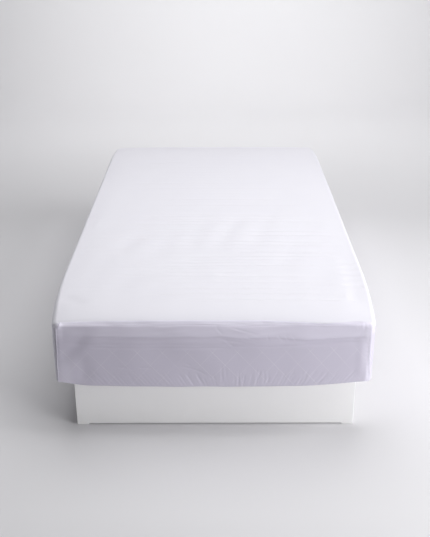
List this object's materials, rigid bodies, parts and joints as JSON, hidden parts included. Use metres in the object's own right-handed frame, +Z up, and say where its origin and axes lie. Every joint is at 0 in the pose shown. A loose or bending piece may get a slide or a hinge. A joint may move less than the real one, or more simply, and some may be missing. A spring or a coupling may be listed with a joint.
{
  "type": "waterproof mattress protector on a mattress and bed base",
  "caption": "Fitted waterproof mattress protector with a smooth top panel and elastic-hemmed skirts, stretched over a twin mattress that lies on a low boxed base.",
  "frame": {"origin": "on the floor below the middle of the bed", "axes": "+Z up, +Y along the bed towards its head, +X across it to the right as seen from the foot"},
  "size_m": [0.99, 1.91, 0.402],
  "materials": {
    "knit": "smooth white knit with a waterproof backing, soft sheen",
    "mattress_cover": "plain woven ticking",
    "painted_board": "white paint, satin"
  },
  "bodies": {
    "root": {"top_panel": "knit", "skirt_foot": "knit", "skirt_head": "knit", "skirt_left": "knit", "skirt_right": "knit", "mattress": "mattress_cover", "base_deck": "painted_board", "base_foot_board": "painted_board", "base_head_board": "painted_board", "base_left_board": "painted_board", "base_right_board": "painted_board"}
  },
  "joints": []
}
